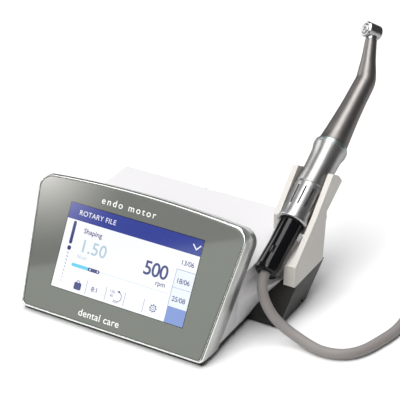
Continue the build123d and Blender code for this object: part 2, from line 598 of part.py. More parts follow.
def stator_core():
    slot = Pos(4.4, 0, (STATOR_FROM + STATOR_TO) / 2) * Box(2.4, 1.0, 30)
    return MOTOR * (tube(STATOR_R, STATOR_BORE, STATOR_FROM, STATOR_TO) - around(6, slot))


def stator_coils():
    return group([MOTOR * tube(5.7, 3.8, z0, z1) for z0, z1 in COIL_ENDS])


def rotor_magnet():
    return MOTOR * tube(3.2, SHAFT_R, STATOR_FROM + 1, STATOR_TO - 1)


def motor_shaft():
    """The shaft, with a slotted driving dog at its front end."""
    body = cyl(SHAFT_R, SHAFT_FROM, NOSE_END - 0.6) + cyl(DOG_R, NOSE_END - 1.1, NOSE_END - 0.2)
    return MOTOR * (body - Pos(0, 0, NOSE_END - 0.2) * Box(1.0, 6, 1.0))


def coupling_nose():
    body = spun([(NOSE_BORE, 43.2), (8.15, 43.2), (8.15, 47), (NOSE_R, 47), (NOSE_R, NOSE_END - 0.6),
                 (NOSE_R - 0.6, NOSE_END), (NOSE_BORE, NOSE_END)])
    for z in SEAL_SEATS:
        body = body - tube(NOSE_R + 1, NOSE_R - 0.7, z, z + SEAT_LONG)
    return MOTOR * body


def nose_seals():
    ring = Pos(0, 0, SEAT_LONG / 2) * Torus(NOSE_R - 0.08, 0.55)
    return group([MOTOR * Pos(0, 0, z) * ring for z in SEAL_SEATS])


# ---------------------------------------------------------------- contra-angle
def latch_ring():
    """A split ring in the sheath's groove that holds the contra-angle on the nose."""
    split = Pos(LATCH_R, 0, LATCH_FROM) * Box(6, 1.2, 6)
    return MOTOR * (tube(LATCH_R, SHEATH_BORE + 0.05, LATCH_FROM, LATCH_TO) - split)


def rear_sheath():
    """The contra-angle's rear shell: it slides over the nose and flares to the marking ring."""
    rear_end = SLEEVE_END + 0.3
    body = spun([(SHEATH_BORE, rear_end), (9.15, rear_end), (9.4, rear_end + 0.3), (9.55, 80),
                 (10.4, 91), (10.85, 96.6), (10.85, RING_FROM), (GEAR_BORE, RING_FROM),
                 (GEAR_BORE, GEAR_SEAT), (4.05, GEAR_SEAT), (4.05, 86.4), (SHEATH_BORE, 86.4)])
    groove = tube(LATCH_R + 0.3, SHEATH_BORE - 0.5, LATCH_FROM - 0.3, LATCH_TO + 0.3)
    return CONTRA * (body - groove)


def input_shaft():
    """The driven dog, its short shaft and the sun gear."""
    dog_from = NOSE_END + 0.1
    body = cyl(DOG_R, dog_from, dog_from + 0.7) + cyl(INPUT_R, dog_from + 0.5, GEAR_FROM + 0.1)
    body = body + spur(SUN_T, GEAR_FROM, GEAR_TO)
    return CONTRA * (body - Pos(0, 0, dog_from) * Box(1.0, 6, 0.6))


def planet_gear(i):
    """A planet, turned half a tooth so that its gaps face the sun's teeth."""
    half_tooth = 180 / PLANET_T
    gear = spur(PLANET_T, GEAR_FROM + 0.3, GEAR_TO) - cyl(PLANET_PIN + 0.03, 80, 100)
    place = Rot(0, 0, 360 / PLANETS * i) * Pos(PLANET_AT, 0, 0) * Rot(0, 0, half_tooth)
    return CONTRA * place * gear


def ring_gear():
    root = MODULE * RING_T / 2 + 0.03
    teeth = Pos(0, 0, GEAR_FROM) * extrude(tooth_ring(RING_T, root, root + 0.34), GEAR_TO - GEAR_FROM)
    return CONTRA * (cyl(GEAR_BORE - 0.05, GEAR_FROM, GEAR_TO) - teeth - cyl(root, 80, 100))


def planet_carrier():
    """The plate that carries the planets' pins, with the slow shaft and its face gear at the bend."""
    body = cyl(CARRIER_R, GEAR_TO + 0.3, GEAR_TO + 1.7) + cyl(CARRIER_SHAFT, GEAR_TO + 1, ELBOW - 3.2)
    pin = Pos(PLANET_AT, 0, 0) * cyl(PLANET_PIN, GEAR_FROM + 0.1, GEAR_TO + 1)
    return CONTRA * (body + around(PLANETS, pin) + bend_gear(ELBOW - 3.3, ELBOW - 1.0))


def marking_ring():
    back = RING_FROM + 0.05
    return CONTRA * spun([(RING_BORE, back), (10.8, back), (10.3, RING_TO), (RING_BORE, RING_TO)])


def neck_sheath():
    """One smooth tapered shell from the marking ring, round the bend, to the head."""
    rings = [Pos(0, 0, z) * Circle(r) for z, r in NECK_RINGS]
    rings += [NECK_LOCAL * Pos(0, 0, z) * Circle(r) for z, r in NECK_RINGS_PAST_BEND]
    outer = loft(rings) + tube(RING_BORE - 0.1, NECK_BORE, RING_FROM + 0.1, RING_TO + 0.6)
    bore = cyl(NECK_BORE, 90, ELBOW - 0.8) + Pos(0, 0, ELBOW) * Sphere(NECK_BORE + 0.1)
    bore = bore + NECK_LOCAL * (cyl(NECK_BORE, 0, 6.6) + cyl(NECK_BORE_PAST_BEND, 6, 40))
    return CONTRA * (outer - bore)


def neck_shaft():
    """The shaft past the bend: a face gear at the bend and a pinion in the head."""
    gear = Rot(180, 0, 0) * bend_gear(-3.2, -1.0)
    pinion = Pos(0, 0, HEAD_AT - 3.9) * extrude(tooth_ring(PINION_T, 1.2, 1.5), 1.6)
    return NECK * (gear + cyl(NECK_SHAFT_R, 2, HEAD_AT - 3) + pinion)


def drive_bearings():
    """Bearings of the input shaft, the planet carrier and the neck shaft."""
    seat = NECK_BORE - 0.03
    seats = [CONTRA * bearing(4.03, INPUT_R + RUN, 86.5, 88.7)]
    seats += [CONTRA * bearing(seat, CARRIER_SHAFT + RUN, z0, z1) for z0, z1 in ((103, 105.4), (148, 150.2))]
    seats += [NECK * bearing(seat, NECK_SHAFT_R + RUN, 4.0, 6.4)]
    seats += [NECK * bearing(NECK_BORE_PAST_BEND - 0.03, NECK_SHAFT_R + RUN, 25, 27)]
    return group(seats)


def head_shell():
    """The head's drum, open at the chuck and at the button, on a short stub of the neck."""
    to_neck = HEAD_LOCAL.location.inverse() * NECK_LOCAL.location
    body = spun([(0, HEAD_BACK), (4.4, HEAD_BACK), (HEAD_R, HEAD_BACK + 1.0), (HEAD_R, HEAD_FRONT - 1.2),
                 (4.2, HEAD_FRONT), (0, HEAD_FRONT)])
    body = body + to_neck * cyl(NECK_RINGS_PAST_BEND[-1][1], NECK_ROOT, HEAD_AT)
    cavity = cyl(HEAD_CAVITY, -4.6, 4.8) + cyl(3.65, HEAD_BACK - 1, -4) + cyl(HEAD_MOUTH, 4, HEAD_FRONT + 1)
    cavity = cavity + to_neck * cyl(NECK_BORE_PAST_BEND, NECK_ROOT - 0.5, HEAD_AT - 2)
    return HEAD * (body - cavity)


def chuck_spindle():
    """The hollow spindle that holds the file, with its crown gear."""
    crown = Rot(180, 0, 0) * face_gear(CROWN_T, 3.9, 2.2, -2.9, -1.65, 0.3)
    return HEAD * (cyl(SPINDLE_R, -3.0, 5.5) + crown - cyl(CHUCK_R, -1.5, 6))


def head_bearings():
    return group([HEAD * bearing(HEAD_CAVITY - 0.05, SPINDLE_R + RUN, z0, z1)
                  for z0, z1 in ((3.1, 4.7), (-3.6, -2.2))])


def button_spring():
    """A cone washer under the button, drawn pressed flat."""
    return HEAD * spun([(2.1, -3.62), (3.2, -3.95), (3.2, -4.2), (2.1, -3.87)])


def push_button():
    body = spun([(0, -6.9), (2.6, -6.9), (3.35, -6.3), (3.45, -5.0), (1.4, -5.0), (1.4, -4.1), (0, -4.1)])
    return HEAD * (body - Pos(0, 0, -8.35) * Sphere(2.1))


# ---------------------------------------------------------------- cord
def motor_cord():
    return cord_tube(CORD_ROUTE, CORD_R)


def cord_coil():
    """The room of the wound cord: two layers of turns, as one plain ring."""
    return Pos(COIL_X, COIL_Y, 0) * tube(COIL_OUT + CORD_R, COIL_IN - CORD_R, 0.1, 4 * CORD_R + 0.3)


def cord_tail():
    return cord_tube(CORD_TAIL, CORD_R)


def cord_plug():
    tip = SOCKET_BORE - 0.15
    body = spun([(0, 0), (4.4, 0), (PLUG_NECK, 3), (PLUG_R, 6), (PLUG_R, NUT_FROM), (PLUG_NECK, NUT_FROM),
                 (PLUG_NECK, NUT_TO), (tip, NUT_TO), (tip, PLUG_L), (PLUG_NECK, PLUG_L),
                 (PLUG_NECK, PLUG_L - 6), (0, PLUG_L - 6)])
    return PLUG * (body + around(PINS, Pos(PIN_AT, 0, 0) * cyl(0.4, PLUG_L - 6.5, PLUG_L - 0.8)))


def plug_nut():
    """The fluted coupling nut that turns on the plug."""
    inner, outer, low, high = PLUG_NECK + 0.05, PLUG_R + 0.3, NUT_FROM + 0.2, NUT_TO - 0.2
    nut = spun([(inner, low), (outer, low), (outer, high), (inner, high)])
    flute = Pos(PLUG_R + 0.55, 0, 18.2) * Cylinder(0.45, 6.6)
    return PLUG * (nut - around(FLUTES, flute))


# ---------------------------------------------------------------- the whole
MAKERS = [
    front_bezel, screen_glass, display_back, lcd_module, lcd_frame, display_board, display_cable, top_cover,
    base_tray, rubber_feet, housing_screws, main_board, board_parts, board_standoffs, board_screws,
    speaker, rear_panel, m2_screws, motor_socket, socket_nut, pedal_socket, dc_inlet,
    rocker_frame, power_rocker, handpiece_holder, holder_pad, holder_screw, motor_housing,
    motor_sleeve, cord_gland, hall_board, motor_bearings, stator_core, stator_coils, rotor_magnet,
    motor_shaft, coupling_nose, nose_seals, latch_ring, rear_sheath, input_shaft, ring_gear,
    planet_carrier, marking_ring, neck_sheath, drive_bearings, neck_shaft, head_shell,
    chuck_spindle, head_bearings, button_spring, push_button, motor_cord, cord_coil, cord_tail,
    cord_plug, plug_nut,
]


def build():
    made = {maker.__name__: maker() for maker in MAKERS}
    for i in range(PLANETS):
        made["planet_gear_%d" % (i + 1)] = planet_gear(i)
    return made


PARTS = build()

# The stored origin is on the bench, under the middle of the footprint without the cord:
# half way from the panel's front edge to the back of the contra-angle's head.
MIDDLE_Y = PARTS["head_shell"].bounding_box().max.Y / 2

os.makedirs("parts", exist_ok=True)
for name, shape in PARTS.items():
    export_step(Pos(0, -MIDDLE_Y, 0) * shape, "parts/%s.step" % name)
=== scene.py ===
import math

import bmesh
import bpy
from mathutils import Matrix, Vector


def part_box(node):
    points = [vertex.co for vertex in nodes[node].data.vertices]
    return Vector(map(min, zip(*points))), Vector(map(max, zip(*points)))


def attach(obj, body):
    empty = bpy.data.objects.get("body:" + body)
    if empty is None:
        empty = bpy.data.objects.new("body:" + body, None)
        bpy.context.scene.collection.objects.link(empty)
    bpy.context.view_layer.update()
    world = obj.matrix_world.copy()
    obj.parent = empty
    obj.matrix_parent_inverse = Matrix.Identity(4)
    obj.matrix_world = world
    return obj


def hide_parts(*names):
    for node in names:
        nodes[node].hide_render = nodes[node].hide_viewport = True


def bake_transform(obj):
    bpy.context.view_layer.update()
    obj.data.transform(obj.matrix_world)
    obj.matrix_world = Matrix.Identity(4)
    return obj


# The looks of the endodontic motor: a desk unit with a touch screen, a holder and a corded handpiece.
# Sizes in this script are millimetres in the unit's own frame (x = 0 in its middle plane, y = 0 at the
# screen's lower front edge, z = 0 on the bench); at() and place() turn them into the frame's metres.

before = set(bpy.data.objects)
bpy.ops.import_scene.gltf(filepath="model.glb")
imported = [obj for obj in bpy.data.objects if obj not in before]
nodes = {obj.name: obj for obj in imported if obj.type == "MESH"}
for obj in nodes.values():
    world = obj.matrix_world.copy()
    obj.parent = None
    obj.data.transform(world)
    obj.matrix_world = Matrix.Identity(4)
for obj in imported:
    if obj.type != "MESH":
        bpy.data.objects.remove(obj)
bpy.context.view_layer.update()

MM = 0.001
FRONT_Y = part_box("front_bezel")[0].y


def at(x, y, z):
    """A point of the unit's frame, in metres in the row frame."""
    return Vector((x * MM, y * MM + FRONT_Y, z * MM))


def place(origin, x_dir, z_dir):
    """The matrix of a local frame that has its origin at a point given in millimetres."""
    x, z = Vector(x_dir).normalized(), Vector(z_dir).normalized()
    y = z.cross(x)
    turn = Matrix((x, y, z)).transposed().to_4x4()
    return Matrix.Translation(at(*origin)) @ turn


# ---------------------------------------------------------------- frames and driving sizes
TILT, PITCH = math.radians(29.6), math.radians(28.3)  # how far the panel leans back and the handpiece rises
BEND, CONTRA_TURN = math.radians(22), math.radians(-35.1)  # the neck's bend, and the turn that points its head
PANEL_Z = 4.0
PANEL = place((0, 0, PANEL_Z), (1, 0, 0), (0, -math.cos(TILT), math.sin(TILT)))
CORD_END = (75.8, 61.36, 38.35)
MOTOR = place(CORD_END, (-1, 0, 0), (0, math.cos(PITCH), math.sin(PITCH)))
CONTRA = MOTOR @ Matrix.Rotation(CONTRA_TURN, 4, "Z")
ELBOW = 155.7
NECK_DIR = Vector((0, math.sin(BEND), math.cos(BEND)))

PANEL_BOTTOM, PANEL_TOP, PANEL_RISE, PANEL_ARCH, PANEL_DEPTH = 131.0, 150.0, 84.3, 3.8, 16.5
TOP_CORNER, BOTTOM_CORNER = 9.5, 3.2
LEAST_TOP_CORNER, LEAST_BOTTOM_CORNER = 1.5, 1.0
GLASS_INSET, GLASS_GAP, GLASS_THICK, BEZEL_WALL = 1.3, 0.15, 1.8, 3.6
SCREEN_W, SCREEN_H, SCREEN_MID = 95.0, 53.8, 44.4
CORD_R = 3.3


# ---------------------------------------------------------------- mesh helpers
NEARLY_STRAIGHT, MOST_CUT = math.radians(88), 0.45  # a corner's half angle, and the most of a side that it takes
SAME_PLACE = 1e-7  # in metres


def new_object(name, data):
    """An object in the scene that holds some data."""
    made = bpy.data.objects.new(name, data)
    bpy.context.scene.collection.objects.link(made)
    return made


def once_round(count):
    """Evenly spaced angles once round a circle."""
    return [2 * math.pi * k / count for k in range(count)]


def quarter_turn(steps):
    """Evenly spaced angles from nought to a right angle."""
    return [math.pi / 2 * k / steps for k in range(steps + 1)]


def arc(centre, radius, start, end, steps):
    """Points along an arc between two angles."""
    return [centre + Vector((math.cos(a), math.sin(a))) * radius
            for a in (start + (end - start) * k / steps for k in range(steps + 1))]


def rounded(points, radius, steps=4):
    """A closed outline with every corner rounded; radius is one number, or one for each corner."""
    out = []
    for i, corner in enumerate(points):
        r = radius[i] if isinstance(radius, (list, tuple)) else radius
        corner = Vector(corner)
        back, ahead = Vector(points[i - 1]) - corner, Vector(points[(i + 1) % len(points)]) - corner
        half = back.angle(ahead) / 2
        if r <= 0 or half > NEARLY_STRAIGHT:
            out.append(corner)
            continue
        cut = min(r / math.tan(half), MOST_CUT * back.length, MOST_CUT * ahead.length)
        back.normalize()
        ahead.normalize()
        centre = corner + (back + ahead).normalized() * (cut / math.cos(half))
        start, end = corner + back * cut - centre, corner + ahead * cut - centre
        for k in range(steps + 1):
            out.append(centre + start.slerp(end, k / steps))
    return out


def skin(bm, rings, wrap=False):
    """Quads between neighbouring closed rings of points in millimetres; wrap joins the last ring to the first."""
    made = [[bm.verts.new(Vector(p) * MM) for p in ring] for ring in rings]
    for low, high in zip(made, made[1:] + made[:1] if wrap else made[1:]):
        count = len(low)
        for i in range(count):
            j = (i + 1) % count
            bm.faces.new((low[i], low[j], high[j], high[i]))
    return made


def cap(bm, ring):
    bm.faces.new(ring)


def lathe(profile, count=96):
    """A turned body: its closed half section as (radius, height), spun about the local z axis."""
    bm = bmesh.new()
    skin(bm, [[(r * math.cos(a), r * math.sin(a), z) for a in once_round(count)] for r, z in profile], wrap=True)
    bmesh.ops.remove_doubles(bm, verts=bm.verts, dist=SAME_PLACE)
    bmesh.ops.dissolve_degenerate(bm, dist=SAME_PLACE, edges=bm.edges)
    return bm


def add_piece(name, bm, slot, body, where=Matrix(), replaced=(), sharp=35, look=None):
    """A finished piece from a bmesh, riding on a body, in its slot's look unless another is named."""
    mesh = bpy.data.meshes.new(name)
    bmesh.ops.recalc_face_normals(bm, faces=bm.faces)
    bm.to_mesh(mesh)
    bm.free()
    for face in mesh.polygons:
        face.use_smooth = True
    mesh.set_sharp_from_angle(angle=math.radians(sharp))
    mesh.materials.append(LOOKS[look or slot])
    piece = new_object(name, mesh)
    piece.matrix_world = where
    if body:
        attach(piece, body)
    if replaced:
        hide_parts(*replaced)
    return piece


def box_into(bm, size, centre, ease, turn=Matrix()):
    """A box with eased edges added to a bmesh, in millimetres, turned about the origin afterwards."""
    made = bmesh.ops.create_cube(bm, size=1)["verts"]
    bmesh.ops.scale(bm, verts=made, vec=Vector(size) * MM)
    bmesh.ops.translate(bm, verts=made, vec=Vector(centre) * MM)
    bmesh.ops.transform(bm, verts=made, matrix=turn)
    bm.edges.index_update()
    edges = sorted({e for v in made for e in v.link_edges}, key=lambda e: e.index)
    bmesh.ops.bevel(bm, geom=edges, offset=ease * MM, segments=3, affect="EDGES", profile=0.5)


def carve(bm, cutter):
    """The first bmesh with the second cut out of it."""
    pair = []
    for source in (bm, cutter):
        mesh = bpy.data.meshes.new("carving")
        bmesh.ops.recalc_face_normals(source, faces=source.faces)
        source.to_mesh(mesh)
        source.free()
        pair.append(new_object("carving", mesh))
    cut = pair[0].modifiers.new("cut", "BOOLEAN")
    cut.object, cut.operation, cut.solver = pair[1], "DIFFERENCE", "EXACT"
    shaped = pair[0].evaluated_get(bpy.context.evaluated_depsgraph_get())
    out = bmesh.new()
    out.from_mesh(shaped.data)
    for helper in pair:
        bpy.data.objects.remove(helper)
    return out


def tube(points, radius, count=24):
    """A round tube along a line of points in metres, with flat ends."""
    bm = bmesh.new()
    rings, side = [], Vector((1, 0, 0))
    for i, p in enumerate(points):
        ahead = (points[min(i + 1, len(points) - 1)] - points[max(i - 1, 0)]).normalized()
        side = (side - ahead * side.dot(ahead)).normalized()
        up = ahead.cross(side)
        rings.append([(p + (side * math.cos(a) + up * math.sin(a)) * radius) / MM for a in once_round(count)])
    made = skin(bm, rings)
    cap(bm, made[0])
    cap(bm, made[-1])
    return bm


# ---------------------------------------------------------------- materials
def new_material(name, colour, rough, metal=0.0, **sockets):
    """A Principled material; further sockets are given by name with _ for a space."""
    made = bpy.data.materials.new(name)
    made.use_nodes = True
    shader = made.node_tree.nodes["Principled BSDF"]
    shader.inputs["Base Color"].default_value = (*colour, 1)
    shader.inputs["Roughness"].default_value = rough
    shader.inputs["Metallic"].default_value = metal
    for key, value in sockets.items():
        shader.inputs[key.replace("_", " ")].default_value = value
    return made


def add(made, kind, **values):
    """A node in a material; values set its properties or, for names with a capital, its inputs."""
    node = made.node_tree.nodes.new(kind)
    for key, value in values.items():
        if key[0].isupper():
            node.inputs[key.replace("_", " ")].default_value = value
        else:
            setattr(node, key, value)
    return node


def join(made, source, target):
    made.node_tree.links.new(source, target)


def shader_of(made):
    return made.node_tree.nodes["Principled BSDF"]


def grain(made, size, stretch=(1, 1, 1), detail=4.0):
    """Noise with a grain size in millimetres, stretched along the object's own axes."""
    coords = add(made, "ShaderNodeTexCoord")
    mapping = add(made, "ShaderNodeMapping")
    mapping.inputs["Scale"].default_value = [1 / s for s in stretch]
    noise = add(made, "ShaderNodeTexNoise", Scale=1 / (size * MM), Detail=detail, Roughness=0.55)
    join(made, coords.outputs["Object"], mapping.inputs["Vector"])
    join(made, mapping.outputs["Vector"], noise.inputs["Vector"])
    return noise.outputs["Fac"]


def shades(colour, darker, lighter):
    """A colour times two factors, as the two ends of its variation."""
    return [c * darker for c in colour], [min(1, c * lighter) for c in colour]


def vary_colour(made, fac, low, high):
    """The base colour runs from low to high with the noise."""
    mix = add(made, "ShaderNodeMix", data_type="RGBA")
    mix.inputs["A"].default_value = (*low, 1)
    mix.inputs["B"].default_value = (*high, 1)
    join(made, fac, mix.inputs["Factor"])
    join(made, mix.outputs[2], shader_of(made).inputs["Base Color"])


NOISE_LOW, NOISE_HIGH = 0.3, 0.7  # between these lies nearly all of a noise


def vary_rough(made, fac, low, high):
    """The roughness runs from low to high with the noise."""
    spread = add(made, "ShaderNodeMapRange")
    spread.inputs["From Min"].default_value = NOISE_LOW
    spread.inputs["From Max"].default_value = NOISE_HIGH
    spread.inputs["To Min"].default_value = low
    spread.inputs["To Max"].default_value = high
    join(made, fac, spread.inputs["Value"])
    join(made, spread.outputs["Result"], shader_of(made).inputs["Roughness"])


def bumps(made, *heights):
    """Bump from several (height, depth in millimetres) pairs, one over the other."""
    normal = None
    for height, depth in heights:
        bump = add(made, "ShaderNodeBump", Strength=1.0, Distance=depth * MM)
        join(made, height, bump.inputs["Height"])
        if normal:
            join(made, normal, bump.inputs["Normal"])
        normal = bump.outputs["Normal"]
    join(made, normal, shader_of(made).inputs["Normal"])


def moulded(name, colour, rough, texture=0.5, depth=0.012, spread=0.03, **sockets):
    """Injection-moulded plastic: a fine spark-eroded grain and faint flow marks."""
    made = new_material(name, colour, rough, **sockets)
    vary_colour(made, grain(made, 22, detail=2.0), *shades(colour, 1 - spread, 1 + spread))
    vary_rough(made, grain(made, 6), rough * 0.88, rough * 1.12)
    bumps(made, (grain(made, texture), depth), (grain(made, 9, detail=1.0), 0.02))
    return made


def turned(name, colour, rough, depth=0.0003, spread=0.02):
    """Metal turned on a lathe and satin blasted: fine rings round the local z axis."""
    made = new_material(name, colour, rough, 1.0, Specular_Tint=(0.35, 0.35, 0.35, 1))
    rings = grain(made, 0.8, stretch=(60, 60, 1), detail=1.0)
    haze = grain(made, 7, detail=2.0)
    vary_colour(made, haze, *shades(colour, 1 - spread, 1 + spread))
    vary_rough(made, haze, rough * 0.94, rough * 1.06)
    bumps(made, (rings, depth), (grain(made, 0.35, detail=1.0), depth))
    return made


def cast_metal(name, colour, rough, depth=0.006):
    """Plain machined or moulded metal with a fine even grain."""
    made = new_material(name, colour, rough, 1.0)
    vary_colour(made, grain(made, 4), *shades(colour, 0.94, 1.05))
    vary_rough(made, grain(made, 1.5), rough * 0.8, rough * 1.25)
    bumps(made, (grain(made, 0.4), depth))
    return made


def painted(name, colour, rough, metal):
    """Satin metallic paint: a fine flake under a thin lacquer."""
    made = new_material(name, colour, rough, metal, Coat_Weight=0.9, Coat_Roughness=0.14)
    flakes = grain(made, 0.16, detail=1.0)
    vary_colour(made, flakes, *shades(colour, 0.93, 1.06))
    vary_rough(made, grain(made, 5, detail=2.0), rough * 0.92, rough * 1.08)
    return made


def board_green(name):
    """A circuit board: green lacquer over fine copper tracks."""
    made = new_material(name, (0.02, 0.12, 0.05), 0.35)
    coords = add(made, "ShaderNodeTexCoord")
    tracks = add(made, "ShaderNodeTexBrick", Scale=260.0, Mortar_Size=0.06)
    tracks.inputs["Color1"].default_value = (0.015, 0.11, 0.045, 1)
    tracks.inputs["Color2"].default_value = (0.02, 0.13, 0.05, 1)
    tracks.inputs["Mortar"].default_value = (0.07, 0.24, 0.09, 1)
    join(made, coords.outputs["Object"], tracks.inputs["Vector"])
    join(made, tracks.outputs["Color"], shader_of(made).inputs["Base Color"])
    bumps(made, (tracks.outputs["Fac"], -0.03))
    return made


def rubber(name, colour, rough=0.62):
    return moulded(name, colour, rough, texture=0.35, depth=0.02, spread=0.06)


def screen_ink(name, colour, strength=0.85):
    """A lit area of the display, seen through the front glass."""
    made = new_material(name, [c * 0.1 for c in colour], 0.25, Coat_Weight=1.0, Coat_Roughness=0.06)
    shader = shader_of(made)
    shader.inputs["Emission Color"].default_value = (*colour, 1)
    shader.inputs["Emission Strength"].default_value = strength
    shader.inputs["Specular IOR Level"].default_value = 0.2
    vary_rough(made, grain(made, 0.3), 0.22, 0.3)
    return made


def glass_paint():
    """The front glass with its metallic grey-green paint behind it."""
    made = new_material(
        "panel_glass", (0.11, 0.115, 0.102), 0.4, 0.25, Coat_Weight=1.0, Coat_Roughness=0.04, Coat_IOR=1.5)
    flakes = grain(made, 0.18, detail=2.0)
    vary_colour(made, flakes, (0.105, 0.11, 0.098), (0.12, 0.126, 0.112))
    vary_rough(made, flakes, 0.36, 0.46)
    return made


def look_name(material):
    """A material's name without the number that Blender adds to a name already taken."""
    return material.name.split(".")[0]


LOOKS = {look_name(made): made for made in (
    painted("bezel_silver", (0.42, 0.432, 0.41), 0.34, 0.6),
    cast_metal("bezel_rim", (0.8, 0.81, 0.79), 0.2, depth=0.0004),
    glass_paint(),
    moulded("black_plastic", (0.018, 0.018, 0.019), 0.38),
    new_material("display", (0.02, 0.02, 0.025), 0.1),
    cast_metal("sheet_steel", (0.55, 0.55, 0.54), 0.33),
    board_green("circuit_board"),
    moulded("cable_film", (0.3, 0.13, 0.03), 0.3, depth=0.005),
    moulded("cover_white", (0.7, 0.688, 0.7), 0.36, texture=0.45, depth=0.01, spread=0.012),
    moulded("base_dark", (0.022, 0.021, 0.019), 0.45, texture=0.3, depth=0.006, Specular_IOR_Level=0.25),
    rubber("foot_rubber", (0.03, 0.03, 0.03)),
    cast_metal("screw_steel", (0.42, 0.42, 0.43), 0.3),
    moulded("chips", (0.03, 0.03, 0.035), 0.4, texture=0.3),
    moulded("plate_grey", (0.32, 0.33, 0.33), 0.4),
    turned("socket_metal", (0.6, 0.6, 0.6), 0.28),
    moulded("rocker_black", (0.02, 0.02, 0.022), 0.3),
    moulded("holder_cream", (0.62, 0.594, 0.552), 0.42, texture=0.4, depth=0.014, spread=0.02),
    rubber("pad_rubber", (0.05, 0.05, 0.048)),
    moulded("handle_black", (0.004, 0.004, 0.005), 0.1, texture=0.3, depth=0.002, Specular_IOR_Level=0.3),
    turned("satin_metal", (0.5, 0.495, 0.5), 0.36),
    rubber("gland_grey", (0.1, 0.1, 0.1)),
    cast_metal("core_steel", (0.3, 0.3, 0.31), 0.35),
    cast_metal("copper", (0.75, 0.3, 0.13), 0.3),
    cast_metal("magnet", (0.2, 0.2, 0.21), 0.25),
    cast_metal("steel", (0.58, 0.58, 0.59), 0.22),
    rubber("seal_black", (0.02, 0.02, 0.02), 0.45),
    turned("contra_steel", (0.44, 0.435, 0.43), 0.36),
    # the neck's steel: a darker copy of contra_steel; the darker base colour is painted shade
    turned("shaded_neck_steel", (0.25, 0.235, 0.228), 0.44),
    cast_metal("head_steel", (0.38, 0.38, 0.385), 0.27, depth=0.001),
    turned("ring_green", (0.42, 0.48, 0.47), 0.36),
    cast_metal("gear_brass", (0.66, 0.48, 0.2), 0.25),
    rubber("cord_grey", (0.24, 0.22, 0.21), 0.55),
    screen_ink("screen_edge", (0.01, 0.012, 0.02), 0.2),
    screen_ink("screen_white", (0.95, 0.965, 1.0), 0.9),
    screen_ink("screen_pale", (0.83, 0.89, 0.98), 0.9),
    screen_ink("screen_header", (0.02, 0.04, 0.33), 0.8),
    screen_ink("screen_navy", (0.025, 0.03, 0.2), 0.9),
    screen_ink("screen_block", (0.2, 0.29, 0.66), 0.9),
    screen_ink("screen_line", (0.16, 0.22, 0.42), 0.9),
    screen_ink("screen_mist", (0.45, 0.58, 0.68), 0.95),
    screen_ink("screen_cyan", (0.1, 0.58, 0.82), 0.95),
    moulded("glass_print", (0.8, 0.8, 0.78), 0.35, depth=0.002),
)}


def dress_nodes():
    """Give each carried-over node its slot's material."""
    for node in nodes.values():
        for slot in node.material_slots:
            slot.material = LOOKS[look_name(slot.material)]


EDGE_WIDTHS = {  # in millimetres
    "top_cover": 0.7, "base_tray": 0.7, "handpiece_holder": 0.55, "head_shell": 0.3, "motor_socket": 0.25,
    "pedal_socket": 0.25, "rocker_frame": 0.5, "power_rocker": 0.3, "rear_panel": 0.2, "dc_inlet": 0.25,
    "cord_plug": 0.25, "plug_nut": 0.15, "display_back": 0.4, "push_button": 0.15, "chuck_spindle": 0.08,
    "rubber_feet": 0.15, "holder_pad": 0.4, "cord_gland": 0.15, "coupling_nose": 0.12, "socket_nut": 0.2,
}
WELD_GAP = 2e-6  # in metres
FLAT_WITHIN, EDGE_FROM = math.radians(0.5), math.radians(35)


def soften_edges():
    """Small rounds on the edges of the carried-over nodes that show."""
    for name, width in EDGE_WIDTHS.items():
        node = nodes[name]
        weld = node.modifiers.new("weld", "WELD")
        weld.merge_threshold = WELD_GAP
        flat = node.modifiers.new("flat", "DECIMATE")
        flat.decimate_type, flat.angle_limit = "DISSOLVE", FLAT_WITHIN
        edges = node.modifiers.new("edges", "BEVEL")
        edges.width, edges.segments, edges.limit_method = width * MM, 3, "ANGLE"
        edges.angle_limit = EDGE_FROM
        node.modifiers.new("normals", "WEIGHTED_NORMAL").weight = 90


# ---------------------------------------------------------------- cord
EXIT_TO_COIL = [
    (75.8, 61.36, 38.35), (75.8, 58.2, 36.65), (76.5, 55.1, 34.0), (78.3, 52.6, 30.1),
    (81.7, 50.9, 23.6), (86.8, 50.5, 16.8), (93.6, 51.0, 11.0), (102.2, 51.3, 6.9),
    (111.7, 50.3, 4.3), (122.0, 48.6, 3.4), (134.5, 52.2, 3.4), (142.6, 62.0, 3.4),
    (146.8, 75.0, 3.4), (151.0, 90.0, 3.4), (151.5, 107.0, 3.4), (147.5, 123.0, 3.4),
    (146.5, 138.5, 3.4),
]
COIL_TO_PLUG = [
    (147.2, 130.7, 10.2), (145.0, 145.0, 10.2), (141.6, 158.5, 8.6), (139.0, 171.5, 6.5), (137.4, 184.0, 6.5)]
COIL_X, COIL_Y, COIL_IN, COIL_OUT, LAYER_TURNS = 191.5, 138.5, 24.6, 45.0, 3
LOW_Z, HIGH_Z = 3.4, 10.2
CLIMB, STEP = 60.0, 15  # the climb between the layers, and the step between points, in degrees


def coil_points():
    """Three turns inwards on the bench, a climb, and three turns outwards on top of them."""
    whole = 360 * LAYER_TURNS
    out = []
    for turned_by in range(STEP, 2 * whole - STEP, STEP):
        share = turned_by / whole
        inwards = share if share <= 1 else 2 - share
        radius = COIL_OUT - (COIL_OUT - COIL_IN) * inwards
        climbed = min(max((turned_by - whole + CLIMB / 2) / CLIMB, 0), 1)
        height = LOW_Z + (HIGH_Z - LOW_Z) * climbed * climbed * (3 - 2 * climbed)
        angle = math.radians(180 - turned_by)
        out.append((COIL_X + radius * math.cos(angle), COIL_Y + radius * math.sin(angle), height))
    return out


